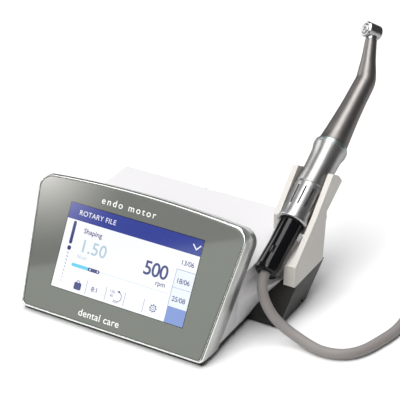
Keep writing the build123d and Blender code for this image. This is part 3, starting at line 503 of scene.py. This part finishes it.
def smooth_line(points):
    """Points in metres on the NURBS line that has these points, in millimetres, as its control polygon."""
    curve = bpy.data.curves.new("route", "CURVE")
    curve.dimensions = "3D"
    spline = curve.splines.new("NURBS")
    spline.points.add(len(points) - 1)
    for control, p in zip(spline.points, points):
        control.co = (*at(*p), 1)
    spline.order_u = 3
    spline.use_endpoint_u = True
    curve.resolution_u = 6
    holder = new_object("route", curve)
    bpy.context.view_layer.update()
    line = [vertex.co.copy() for vertex in bpy.data.meshes.new_from_object(holder).vertices]
    bpy.data.objects.remove(holder)
    return line


def make_cord():
    """The motor's cord with its coil; it runs from the handpiece's rear end down to the bench."""
    line = smooth_line(EXIT_TO_COIL + coil_points() + COIL_TO_PLUG)
    cord = add_piece("cord", tube(line, CORD_R * MM), "cord_grey", None,
                     replaced=("motor_cord", "cord_coil", "cord_tail"), sharp=60)
    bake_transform(cord)


# ---------------------------------------------------------------- screen housing
def panel_outline(inset, depth):
    """A ring round the panel, at some inset from its edge and some depth behind its front plane."""
    half_b, half_t = PANEL_BOTTOM / 2 - inset, PANEL_TOP / 2 - inset
    low, high = inset, PANEL_RISE - inset
    # the slanting side, and the wide arc of the top edge
    foot = Vector((half_b, low))
    up = Vector((half_t - half_b, high - low)).normalized()
    inward = Vector((-up.y, up.x))
    side = math.atan2(-inward.y, -inward.x)
    bow_r = (half_t ** 2 + PANEL_ARCH ** 2) / (2 * PANEL_ARCH)
    bow_c = Vector((0, high + PANEL_ARCH - bow_r))
    # the top corner touches the side and, from within, the bow
    r_top = max(TOP_CORNER - inset, LEAST_TOP_CORNER)
    start = foot + inward * r_top - bow_c
    along = start.dot(up)
    climb = -along + math.sqrt(along ** 2 - start.length_squared + (bow_r - r_top) ** 2)
    top_c = bow_c + start + up * climb
    bow_a = math.atan2(top_c.y - bow_c.y, top_c.x - bow_c.x)
    # the bottom corner touches the side and the bottom edge
    r_low = max(BOTTOM_CORNER - inset / 2, LEAST_BOTTOM_CORNER)
    shift = (low + r_low - (foot + inward * r_low).y) / up.y
    low_c = foot + inward * r_low + up * shift

    right = arc(low_c, r_low, -math.pi / 2, side, 6) + arc(top_c, r_top, side, bow_a, 12)
    right += arc(bow_c, bow_r, bow_a, math.pi / 2, 14)[1:]
    left = [Vector((-p.x, p.y)) for p in reversed(right[:-1])]
    return [(p.x, p.y, -depth) for p in right + left]


def cut_at_bench(bm, z):
    """Cut away what lies below a level, in millimetres, and close the cut."""
    geometry = list(bm.verts) + list(bm.edges) + list(bm.faces)
    cut = bmesh.ops.bisect_plane(
        bm, geom=geometry, dist=SAME_PLACE, plane_co=at(0, 0, z), plane_no=(0, 0, 1), clear_inner=True)
    edges = [e for e in cut["geom_cut"] if isinstance(e, bmesh.types.BMEdge)]
    bmesh.ops.triangle_fill(bm, use_beauty=True, use_dissolve=True, edges=edges)


def make_bezel():
    """The painted housing of the screen, and the polished rim round its front."""
    outer, inner = 1.0, 0.2  # the rim's rounding, outside and next to the glass
    seam, step, chamfer = 1.02, 0.1, 0.5
    body = [(BEZEL_WALL, GLASS_THICK), (BEZEL_WALL, PANEL_DEPTH), (chamfer, PANEL_DEPTH), (0, PANEL_DEPTH - chamfer),
            (0, seam + step), (step, seam), (GLASS_INSET, seam), (GLASS_INSET, GLASS_THICK)]
    rim = [(GLASS_INSET, seam), (0.02, seam)]
    rim += [(outer - outer * math.cos(a), outer - outer * math.sin(a)) for a in quarter_turn(6)]
    rim += [(GLASS_INSET - inner + inner * math.sin(a), inner - inner * math.cos(a)) for a in quarter_turn(3)]
    for name, section, look, replaced in (
            ("bezel", body, "bezel_silver", ("front_bezel",)), ("bezel_rim", rim, "bezel_rim", ())):
        bm = bmesh.new()
        skin(bm, [panel_outline(inset, depth) for inset, depth in section], wrap=True)
        bmesh.ops.transform(bm, verts=bm.verts, matrix=PANEL)
        cut_at_bench(bm, PANEL_Z)
        add_piece(name, bm, "bezel_silver", "unit", replaced=replaced, sharp=50, look=look)


def make_glass():
    """The front glass, its front edge eased over half a millimetre."""
    edge = GLASS_INSET + GLASS_GAP
    section = [(edge + 0.3, GLASS_THICK), (edge, GLASS_THICK - 0.3), (edge, 0.4), (edge + 0.08, 0.22),
               (edge + 0.28, 0.12), (edge + 0.5, 0.1)]
    bm = bmesh.new()
    rings = skin(bm, [panel_outline(inset, depth) for inset, depth in section])
    cap(bm, rings[0])
    cap(bm, rings[-1])
    bmesh.ops.transform(bm, verts=bm.verts, matrix=PANEL)
    glass = add_piece("front_glass", bm, "panel_glass", "unit", replaced=("screen_glass",), sharp=50)
    glass.modifiers.new("normals", "WEIGHTED_NORMAL").weight = 100  # keeps the mirror image flat


# ---------------------------------------------------------------- what the screen shows
INK_LIFT, INK_THICK = -0.085, 0.012  # where the lowest layer starts, and each layer's share
CAPITAL = 0.7  # a capital's height at text size 1


class Ink:
    """Flat shapes of one colour on the panel, at a layer above the glass, made into one piece."""

    def __init__(self, name, layer):
        self.name, self.layer, self.bm = name, layer, bmesh.new()

    def flat(self, outline):
        """One filled outline, its points in millimetres from the screen's middle."""
        top = INK_LIFT + INK_THICK * (self.layer + 1)
        rings = [[(x, y + SCREEN_MID, z) for x, y in outline] for z in (top - INK_THICK * 0.8, top)]
        made = skin(self.bm, rings)
        cap(self.bm, made[0][::-1])
        cap(self.bm, made[1])

    def bar(self, x0, y0, x1, y1, radius=0.0):
        """A rectangle between two corners, with rounded corners if there is a radius."""
        corners = [(x0, y0), (x1, y0), (x1, y1), (x0, y1)]
        self.flat([tuple(p) for p in rounded(corners, radius, 6)] if radius else corners)

    def disc(self, x, y, radius, count=24):
        self.flat([(x + radius * math.cos(a), y + radius * math.sin(a)) for a in once_round(count)])

    def stroke(self, points, width):
        """An open line of some width, mitred at its corners."""
        points = [Vector(p) for p in points]
        left, right = [], []
        for i, p in enumerate(points):
            before = (p - points[i - 1]).normalized() if i else (points[1] - p).normalized()
            after = (points[i + 1] - p).normalized() if i < len(points) - 1 else before
            mid = (before + after).normalized()
            reach = width / 2 / max(mid.dot(before), 0.3)
            across = Vector((-mid.y, mid.x)) * reach
            left.append(tuple(p + across))
            right.append(tuple(p - across))
        self.flat(right + left[::-1])

    def ring(self, x, y, radius, width, start=0, end=360, count=28):
        """A ring or a part of one between two angles in degrees, width wider than its inner radius."""
        angles = [math.radians(start + (end - start) * k / count) for k in range(count + 1)]
        for a, b in zip(angles, angles[1:]):
            quad = [(x + r * math.cos(t), y + r * math.sin(t))
                    for r, t in ((radius, a), (radius + width, a), (radius + width, b), (radius, b))]
            self.flat(quad)

    def words(self, text, x, y, height, spread=1.0, bold=0.0):
        """Text with capitals of some height, its baseline starting at x, y."""
        curve = bpy.data.curves.new("text", "FONT")
        curve.body, curve.size, curve.space_character, curve.offset = text, 1.0, spread, bold
        holder = new_object("text", curve)
        bpy.context.view_layer.update()
        mesh = bpy.data.meshes.new_from_object(holder)
        bpy.data.objects.remove(holder)
        size = height / CAPITAL * MM
        level = (INK_LIFT + INK_THICK * (self.layer + 1)) * MM
        corner = Matrix.Translation((x * MM, (y + SCREEN_MID) * MM, level))
        mesh.transform(corner @ Matrix.Diagonal((size, size, 1, 1)))
        self.bm.from_mesh(mesh)

    def done(self):
        """The piece; a second piece of one colour has that colour's name and a word of its own."""
        look = self.name if self.name in LOOKS else self.name.rsplit("_", 1)[0]
        slot = "display" if self.name.startswith("screen") else "panel_glass"
        bmesh.ops.transform(self.bm, verts=self.bm.verts, matrix=PANEL)
        add_piece(self.name, self.bm, slot, "unit", look=look)


def one_bar(name, layer, x0, y0, x1, y1, radius=0.0):
    """A piece that is a single bar of one colour."""
    ink = Ink(name, layer)
    ink.bar(x0, y0, x1, y1, radius)
    ink.done()


# the picture's layout, in millimetres from the screen's middle
HALF_W, HALF_H, SCREEN_EDGE = SCREEN_W / 2, SCREEN_H / 2, 0.45
TITLE_LOW, COLUMN, LIST_TOP, LIST_LOW, LIST_LINE = 16.9, 34.5, 6.0, -16.8, -5.0
ROW_LEFT, ROW_RIGHT, ROW_LOW, ROW_TOP, ROW_ROUND = -36.8, 32.2, -25.4, LIST_LOW - 0.4, 4.1
ROW_EDGE, ROW_LINES, ICON_Y = 0.35, (-22.8, -8.6, 4.9, 18.5), -21.2
SLIDER_Y, SLIDER_LEFT, KNOB_LEFT, KNOB_RIGHT = -10.35, -36.5, -25.0, -16.0


def make_screen():
    """The picture on the display, layer by layer; each piece is named after its colour."""
    edge_w, edge_h = HALF_W + SCREEN_EDGE, HALF_H + SCREEN_EDGE
    one_bar("screen_edge", 0, -edge_w, -edge_h, edge_w, edge_h)
    one_bar("screen_white", 1, -HALF_W, -HALF_H, HALF_W, HALF_H)
    one_bar("screen_header", 2, -HALF_W, TITLE_LOW, HALF_W, HALF_H)
    title = Ink("screen_white_text", 3)
    title.words("ROTARY FILE", -40.3, 20.5, 3.1, spread=1.04)
    title.stroke([(41.0, 23.3), (43.8, 20.4), (46.4, 23.3)], 0.7)
    title.done()

    one_bar("screen_pale", 2, COLUMN, LIST_LOW, HALF_W, LIST_TOP)
    one_bar("screen_line_row", 2, ROW_LEFT - ROW_EDGE, ROW_LOW - ROW_EDGE, ROW_RIGHT + ROW_EDGE, ROW_TOP + ROW_EDGE,
            ROW_ROUND + ROW_EDGE)
    one_bar("screen_white_fields", 3, ROW_LEFT, ROW_LOW, ROW_RIGHT, ROW_TOP, ROW_ROUND)
    one_bar("screen_block", 4, COLUMN, -HALF_H, HALF_W, LIST_LOW)

    lines = Ink("screen_line", 4)
    for x in ROW_LINES:
        lines.bar(x - 0.16, ROW_LOW - 0.1, x + 0.16, ROW_TOP + 0.1)
    lines.bar(COLUMN, LIST_TOP - 0.05, HALF_W, LIST_TOP + 0.25)
    lines.bar(COLUMN - 0.15, LIST_LOW, COLUMN + 0.15, LIST_TOP + 0.25)
    lines.bar(COLUMN, LIST_LINE - 0.2, HALF_W, LIST_LINE)
    lines.done()
    mist = Ink("screen_mist", 4)
    mist.bar(KNOB_RIGHT, SLIDER_Y + 0.2, 32.4, SLIDER_Y + 0.45)
    mist.words("N.cm", -34.3, -5.6, 2.2, bold=0.01)
    mist.words("1.50", -34.2, -1.2, 7.7, spread=1.04, bold=0.012)
    mist.done()
    one_bar("screen_cyan", 4, SLIDER_LEFT, SLIDER_Y - 0.65, KNOB_LEFT + 2, SLIDER_Y + 0.65, 0.6)

    navy = Ink("screen_navy", 5)
    navy.bar(KNOB_LEFT, SLIDER_Y - 1.35, KNOB_RIGHT, SLIDER_Y + 1.35, 1.3)
    navy.words("Shaping", -34.0, 10.3, 3.1, bold=0.012)
    navy.words("500", 12.4, -2.6, 8.5, spread=0.93, bold=0.016)
    navy.words("rpm", 22.6, -7.2, 3.0, bold=0.01)
    for label, y in (("13/06", 9.3), ("18/06", -2.0), ("25/08", -13.2)):
        navy.words(label, COLUMN + 1.4, y, 3.0, spread=0.96, bold=0.01)
    navy.words("8:1", -19.2, ICON_Y - 1.6, 2.9, bold=0.014)
    draw_padlock(navy, -29.0, ICON_Y)
    draw_cog(navy, 25.4, ICON_Y)
    draw_swing(navy, -1.2, ICON_Y)
    draw_file(navy, -41.4)
    navy.done()
    dots = Ink("screen_white_dots", 6)
    for x in (KNOB_LEFT + 1.8, KNOB_RIGHT - 1.7):
        dots.disc(x, SLIDER_Y, 0.5, 12)
    dots.done()


def draw_padlock(ink, x, y):
    """A closed padlock: its body, and its shackle with two legs."""
    ink.bar(x - 1.9, y - 2.9, x + 1.9, y + 0.3, 0.3)
    ink.ring(x, y + 1.0, 0.95, 0.45, 0, 180, 14)
    for side in (-1, 1):
        ink.bar(x + side * 1.18 - 0.22, y, x + side * 1.18 + 0.22, y + 1.1)


def draw_cog(ink, x, y):
    """A cogwheel: two rings and eight round teeth."""
    ink.ring(x, y, 0.7, 0.3, count=16)
    ink.ring(x, y, 1.65, 0.4, count=24)
    for k in range(8):
        a = math.radians(45 * k)
        ink.disc(x + 2.25 * math.cos(a), y + 2.25 * math.sin(a), 0.4, 10)


def draw_swing(ink, x, y):
    """The forward and back angles, with an arrow's arc beside them."""
    ink.ring(x + 0.6, y, 3.1, 0.4, -70, 80, 18)
    ink.flat([(x + 0.2, y + 3.2), (x + 2.2, y + 4.1), (x + 2.0, y + 2.3)])
    ink.words("150", x - 5.0, y + 1.5, 1.7)
    ink.words("90", x - 4.3, y - 1.2, 1.7)
    ink.words("300", x - 1.6, y - 4.0, 1.7)


def draw_file(ink, x):
    """A small drawing of a rotary file on its shank, along the screen's left edge."""
    top, collar, first, tip, turns = 15.4, 2.4, -3.4, -23.4, 9
    ink.bar(x - 0.32, collar, x + 0.32, top, 0.2)
    ink.bar(x - 0.5, -1.6, x + 0.5, -0.4, 0.2)
    for k in range(turns):
        y = first + (tip - first) * k / turns
        half = 0.5 - 0.3 * k / turns
        ink.flat([(x - half, y), (x + half, y - 1.0), (x + half, y - 1.6), (x - half, y - 0.6)])


def make_prints():
    """Plain generic wording printed behind the glass."""
    prints = Ink("glass_print", 0)
    prints.words("endo motor", -27.0, 75.6 - SCREEN_MID, 4.2, spread=1.35, bold=0.008)
    prints.words("dental care", -24.0, 5.0 - SCREEN_MID, 4.4, spread=1.05, bold=0.008)
    prints.done()


# ---------------------------------------------------------------- handpiece
def make_handle():
    """The motor's black handle, with a recess near the cord that holds a small key."""
    outer = [(4.8, 0), (6.2, 0), (6.95, 0.7), (7.08, 2.2), (6.9, 2.45), (6.9, 2.75), (7.1, 3.0), (7.3, 20),
             (7.3, 43), (6.2, 43), (6.2, 2.0), (4.8, 2.0)]
    body = lathe(rounded(outer, [0.2, 0.5, 0.5, 0.1, 0.05, 0.05, 0.1, 2, 0.3, 0.3, 0.2, 0.2], 4))
    recess, key = bmesh.new(), bmesh.new()
    box_into(recess, (3.2, 1.4, 5.4), (0, 7.6, 13.6), ease=0.4)
    box_into(key, (1.5, 0.7, 1.2), (0, 7.05, 12.2), ease=0.2)
    add_piece("motor_handle", carve(body, recess), "handle_black", "motor", MOTOR, ("motor_housing",), 40)
    add_piece("handle_key", key, "handle_black", "motor", MOTOR)


def make_sleeve():
    """The motor's metal sleeve, with slots for grip round its front half."""
    r, end, bore = 9.3, 65.0, 8.2
    slot_count, first_slot, slot_mid, slot_size = 12, 10, 54.5, (1.0, 3, 14)
    outer = [(7.35, 38.9), (8.6, 38.9), (8.7, 38.7), (9.15, 38.7), (9.22, 39.2), (9.2, 43), (r, end - 0.6),
             (r - 0.45, end), (4.95, end), (4.95, end - 3), (bore, end - 3), (bore, 43.1), (7.35, 43.1)]
    body = lathe(rounded(outer, [0.1, 0.1, 0.1, 0.15, 0.2, 2, 0.2, 0.15, 0, 0, 0, 0, 0], 3), 128)
    slots = bmesh.new()
    for k in range(slot_count):
        turn = Matrix.Rotation(math.radians(360 / slot_count * k + first_slot), 4, "Z")
        box_into(slots, slot_size, (0, r, slot_mid), ease=0.3, turn=turn)
    add_piece("ring_sleeve", carve(body, slots), "satin_metal", "motor", MOTOR, ("motor_sleeve",), 40)


def make_contra_rear():
    """The contra-angle's rear sheath, and the pale ring in front of it."""
    bore = 5.45
    outer = [(bore, 65.6), (8.9, 65.6), (9.35, 66.1), (9.7, 78), (9.95, 86), (10.2, 92), (10.4, 96.1), (10.25, 96.4),
             (8.2, 96.4), (8.2, 88.9), (bore, 88.9)]
    body = lathe(rounded(outer, [0.1, 0.15, 0.3, 9, 9, 9, 0.2, 0.1, 0, 0, 0], 5), 128)
    add_piece("contra_rear", body, "contra_steel", "contra_angle", CONTRA, ("rear_sheath",), 40)
    band = [(8.6, 96.8), (10.2, 96.8), (10.42, 97.05), (10.3, 99.1), (10.1, 99.3), (8.6, 99.3)]
    ring = lathe(rounded(band, [0, 0.12, 0.15, 0.15, 0.1, 0], 3), 128)
    add_piece("ratio_ring", ring, "ring_green", "contra_angle", CONTRA, ("marking_ring",), 40)


def smooth_steps(stations, count):
    """Catmull-Rom through (position, value) stations, as many steps between each pair."""
    out = []
    for i in range(len(stations) - 1):
        p0, p1 = Vector(stations[max(i - 1, 0)]), Vector(stations[i])
        p2, p3 = Vector(stations[i + 1]), Vector(stations[min(i + 2, len(stations) - 1)])
        for k in range(count):
            t = k / count
            out.append(0.5 * (2 * p1 + (p2 - p0) * t + (2 * p0 - 5 * p1 + 4 * p2 - p3) * t * t
                              + (3 * p1 - p0 - 3 * p2 + p3) * t ** 3))
    return out + [Vector(stations[-1])]


def make_neck():
    """The slim shell: straight along the handpiece, round the bend, and up to the head."""
    reach = 3.2
    bend_r = reach / math.tan(BEND / 2)
    straight, arc_length = ELBOW - reach, bend_r * BEND
    past = straight + arc_length
    seam, seam_half, seam_deep = past + 0.8, 0.45, 0.1
    stations = [(99.7, 9.7), (100.0, 10.0), (104, 9.4), (113, 8.65), (124, 7.86), (136, 7.25), (148, 6.95),
                (straight, 6.84), (past, 6.35), (past + 3.2, 6.0), (past + 5.6, 5.65),
                (past + 9.8, 5.05), (past + 15.8, 4.5), (past + 25.2, 3.9)]
    corner = Vector((0, bend_r * (1 - math.cos(BEND)), straight + bend_r * math.sin(BEND)))
    bm = bmesh.new()
    rings = []
    for s, r in smooth_steps(stations, 6):
        if abs(s - seam) < seam_half:
            r -= seam_deep
        if s <= straight:
            centre, angle = Vector((0, 0, s)), 0
        elif s <= past:
            angle = (s - straight) / bend_r
            centre = Vector((0, bend_r * (1 - math.cos(angle)), straight + bend_r * math.sin(angle)))
        else:
            centre, angle = corner + NECK_DIR * (s - past), BEND
        side, up = Vector((1, 0, 0)), Vector((0, math.cos(angle), -math.sin(angle)))
        rings.append([centre + (side * math.cos(a) + up * math.sin(a)) * r for a in once_round(96)])
    collar = [Vector((p.x * 0.6, p.y * 0.6, p.z)) for p in rings[0]]  # turns the shell's rear edge inwards
    made = skin(bm, [collar] + rings)
    cap(bm, made[0])
    cap(bm, made[-1])
    # the neck takes the darker copy of its slot's steel, which is painted shade
    add_piece("contra_neck", bm, "contra_steel", "contra_angle", CONTRA, ("neck_sheath",), 40, look="shaded_neck_steel")


# ---------------------------------------------------------------- stage, light and camera
CAMERA_AT, LOOK_AT, LENS = (436.3, -650.0, 534.7), (64.58, 0.0, 115.72), 138.3
ROLL = math.radians(0.15)
SENSOR, NEAREST, FARTHEST = 36, 0.05, 20
FLOOR_HALF, WORLD_COLOUR, WORLD_POWER = 6, (0.96, 0.98, 1.0), 0.08
# where on the glass the camera sees the glare lamp's middle and the card's upper edge, in millimetres
GLARE_AT, CARD_EDGE = (-80, 95), ((-80, 18.4), (80, 82.4))
# how far these two stand from the glass, and their sizes, in metres
GLARE_REACH, GLARE_SIZE, CARD_REACH, CARD_SIZE = 1.2, (0.285, 0.285), 1.5, (0.66, 0.34)


def area(name, where, towards, size, power, colour=(1, 1, 1)):
    """A rectangular lamp, its place, target and size in metres and its power in watts."""
    data = bpy.data.lights.new(name, "AREA")
    data.shape, data.size, data.size_y = "RECTANGLE", size[0], size[1]
    data.energy, data.color = power, colour
    lamp = new_object(name, data)
    lamp.location = where
    lamp.rotation_euler = (Vector(towards) - Vector(where)).to_track_quat("-Z", "Y").to_euler()
    return lamp


def make_stage():
    """The pale floor under the object."""
    bm = bmesh.new()
    bmesh.ops.create_grid(bm, x_segments=1, y_segments=1, size=FLOOR_HALF)
    mesh = bpy.data.meshes.new("floor")
    bm.to_mesh(mesh)
    bm.free()
    floor = new_object("floor", mesh)
    mesh.materials.append(new_material("floor", (0.93, 0.93, 0.93), 0.65, Specular_IOR_Level=0.2))


def mirrored_on_glass(x, y, reach):
    """Where a lamp stands that the camera sees mirrored at a point of the glass."""
    spot = PANEL @ (Vector((x, y, 0)) * MM)
    normal = PANEL.to_3x3() @ Vector((0, 0, 1))
    seen = (at(*CAMERA_AT) - spot).normalized()
    return spot + (2 * seen.dot(normal) * normal - seen) * reach


def fade_out(lamp, power):
    """A softbox that is brightest in its middle and fades to nothing at its edge.

    On a lamp, Parametric runs from nought to one across it in x and y, with its middle at 0.5, 0.5.
    """
    lamp.data.use_nodes = True
    tree = lamp.data.node_tree
    spot = tree.nodes.new("ShaderNodeNewGeometry")
    reach = tree.nodes.new("ShaderNodeVectorMath")
    reach.operation = "DISTANCE"
    reach.inputs[1].default_value = (0.5, 0.5, 0)
    tree.links.new(spot.outputs["Parametric"], reach.inputs[0])
    inwards = tree.nodes.new("ShaderNodeMapRange")
    inwards.inputs["From Max"].default_value = 0.5
    inwards.inputs["To Min"].default_value = 1.0
    inwards.inputs["To Max"].default_value = 0.0
    tree.links.new(reach.outputs["Value"], inwards.inputs["Value"])
    curve = tree.nodes.new("ShaderNodeMath")
    curve.operation = "POWER"
    curve.inputs[1].default_value = power
    tree.links.new(inwards.outputs["Result"], curve.inputs[0])
    tree.links.new(curve.outputs["Value"], tree.nodes["Emission"].inputs["Strength"])


def make_glare():
    """The lamp mirrored in the glass's upper left corner."""
    where = mirrored_on_glass(*GLARE_AT, GLARE_REACH)
    glare = area("glare", where, PANEL.translation, GLARE_SIZE, 5.2, (1.0, 0.97, 0.94))
    fade_out(glare, 1.8)


def make_card():
    """The bright card mirrored in the glass; its upper edge runs slantwise across the panel."""
    left, right = (mirrored_on_glass(*corner, CARD_REACH) for corner in CARD_EDGE)
    along, middle = (right - left).normalized(), (left + right) / 2
    towards = PANEL @ Vector((0, 0.04, 0)) - middle
    facing = (towards - along * towards.dot(along)).normalized()
    across = facing.cross(along)
    down = -across if across.z > 0 else across
    card = area("card", (0, 0, 0), (0, 0, -1), CARD_SIZE, 1.25, (0.88, 1.0, 0.9))
    turn = Matrix((along, -across, -facing)).transposed().to_4x4()
    card.matrix_world = Matrix.Translation(middle + down * CARD_SIZE[1] / 2) @ turn


def make_light():
    scene = bpy.context.scene
    scene.view_settings.view_transform = "Standard"
    world = bpy.data.worlds.new("studio")
    scene.world = world
    world.use_nodes = True
    background = world.node_tree.nodes["Background"]
    background.inputs["Color"].default_value = (*WORLD_COLOUR, 1)
    background.inputs["Strength"].default_value = WORLD_POWER
    middle = (0, 0, 0.06)
    area("overhead", (-0.01, -0.2, 1.7), (-0.01, -0.2, 0), size=(0.88, 3.0), power=40)
    area("front", (-0.2, -1.5, 1.5), middle, size=(2.0, 1.2), power=19)
    area("left", (-1.5, 0.2, 0.7), middle, size=(0.6, 1.2), power=7)
    make_glare()
    area("right", (1.4, -0.72, 0.27), (0.08, 0, 0.06), size=(0.5, 0.5), power=0.8)
    make_card()


def make_camera():
    data = bpy.data.cameras.new("camera")
    data.lens, data.sensor_width, data.clip_start, data.clip_end = LENS, SENSOR, NEAREST, FARTHEST
    camera = new_object("camera", data)
    eye = at(*CAMERA_AT)
    aim = (at(*LOOK_AT) - eye).to_track_quat("-Z", "Y").to_matrix().to_4x4()
    camera.matrix_world = Matrix.Translation(eye) @ aim @ Matrix.Rotation(ROLL, 4, "Z")
    bpy.context.scene.camera = camera


dress_nodes()
soften_edges()
make_cord()
make_bezel()
make_glass()
make_screen()
make_prints()
make_handle()
make_sleeve()
make_contra_rear()
make_neck()
make_stage()
make_light()
make_camera()

bpy.context.view_layer.update()
